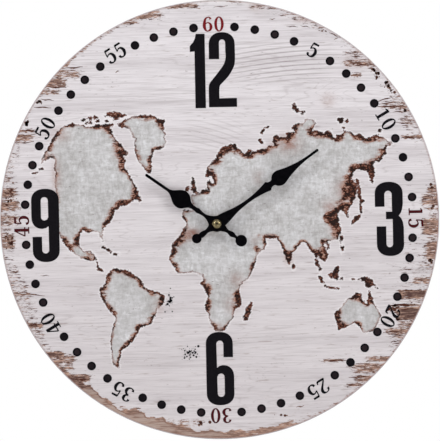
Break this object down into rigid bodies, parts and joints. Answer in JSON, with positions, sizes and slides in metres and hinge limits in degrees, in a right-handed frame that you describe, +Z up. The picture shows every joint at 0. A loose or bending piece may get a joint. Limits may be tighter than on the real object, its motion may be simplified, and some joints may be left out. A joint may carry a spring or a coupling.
{
  "type": "wall clock",
  "caption": "Round board wall clock with a printed world map dial, spade hands and a quartz movement with wheel train, setting knob and dry cell behind it.",
  "frame": {"origin": "on the hand arbor, at the wall face of the movement cover", "axes": "+Z up as the dial is read, the dial faces -Y, +Y towards the wall, +X to the reader's right"},
  "size_m": [0.34, 0.036, 0.34],
  "materials": {
    "board": "raw fibreboard",
    "print": "matt printed sheet",
    "hands": "black enamel, satin",
    "cap": "polished",
    "fixings": "machined",
    "gasket": "matt",
    "hanger": "zinc plated",
    "movement": "fine moulded grain",
    "knob": "moulded",
    "bridge": "natural",
    "wheels": "natural acetal",
    "magnet": "ground",
    "lamination": "stamped",
    "bobbin": "natural",
    "winding": "enamelled copper wire",
    "leads": "tinned",
    "circuit": "phenolic laminate",
    "resin": "potting resin",
    "can": "nickel plated",
    "sleeve": "shrink sleeve, plain"
  },
  "bodies": {
    "clock_body": {"dial_board": "board", "dial_print": "print", "fixing_nut": "fixings", "fixing_washer": "fixings", "rubber_washer": "gasket", "threaded_bush": "fixings", "wall_hanger": "hanger", "movement_case": "movement", "movement_cover": "movement", "train_bridge": "bridge", "stator": "lamination", "coil_core": "lamination", "coil_bobbin": "bobbin", "coil_winding": "winding", "coil_pins": "leads", "circuit_board": "circuit", "quartz_crystal": "leads", "chip_blob": "resin", "positive_contact": "leads", "negative_contact": "leads"},
    "minute_group": {"minute_hand": "hands", "minute_cap_nut": "cap", "minute_arbor": "fixings", "centre_wheel": "wheels"},
    "hour_group": {"hour_hand": "hands", "hour_wheel": "wheels"},
    "motion_group": {"motion_wheel": "wheels"},
    "knob_group": {"setting_knob": "knob"},
    "third_group": {"third_wheel": "wheels"},
    "second_group": {"second_wheel": "wheels"},
    "transmission_group": {"transmission_wheel": "wheels"},
    "rotor_group": {"rotor_pinion": "wheels", "rotor_magnet": "magnet"},
    "cell_group": {"cell_can": "can", "cell_sleeve": "sleeve"}
  },
  "joints": [
    {"name": "minute_turn", "type": "hinge", "parent": "clock_body", "child": "minute_group", "pos_m": [0, 0, 0], "axis": [0, 1, 0], "continuous": true},
    {"name": "hour_turn", "type": "hinge", "parent": "clock_body", "child": "hour_group", "pos_m": [0, 0, 0], "axis": [0, 1, 0], "continuous": true},
    {"name": "motion_turn", "type": "hinge", "parent": "clock_body", "child": "motion_group", "pos_m": [0.0096, 0, 0], "axis": [0, 1, 0], "continuous": true},
    {"name": "knob_turn", "type": "hinge", "parent": "clock_body", "child": "knob_group", "pos_m": [0.0183, 0, 0.00406], "axis": [0, 1, 0], "continuous": true},
    {"name": "third_turn", "type": "hinge", "parent": "clock_body", "child": "third_group", "pos_m": [-0.009, 0, 0], "axis": [0, 1, 0], "continuous": true},
    {"name": "second_turn", "type": "hinge", "parent": "clock_body", "child": "second_group", "pos_m": [0, 0, 0], "axis": [0, 1, 0], "continuous": true},
    {"name": "transmission_turn", "type": "hinge", "parent": "clock_body", "child": "transmission_group", "pos_m": [0, 0, 0.009], "axis": [0, 1, 0], "continuous": true},
    {"name": "rotor_turn", "type": "hinge", "parent": "clock_body", "child": "rotor_group", "pos_m": [-0.00619, 0, 0.01519], "axis": [0, 1, 0], "continuous": true},
    {"name": "cell_slide", "type": "slide", "parent": "clock_body", "child": "cell_group", "axis": [0, 1, 0], "range_m": [0, 0.018]}
  ],
  "couplings": [
    {"joint": "hour_turn", "follows": "minute_turn", "ratio": 0.083333},
    {"joint": "motion_turn", "follows": "minute_turn", "ratio": -0.33333},
    {"joint": "knob_turn", "follows": "minute_turn", "ratio": 1},
    {"joint": "third_turn", "follows": "minute_turn", "ratio": -7.5},
    {"joint": "second_turn", "follows": "minute_turn", "ratio": 60},
    {"joint": "transmission_turn", "follows": "minute_turn", "ratio": -300},
    {"joint": "rotor_turn", "follows": "minute_turn", "ratio": 1800}
  ]
}
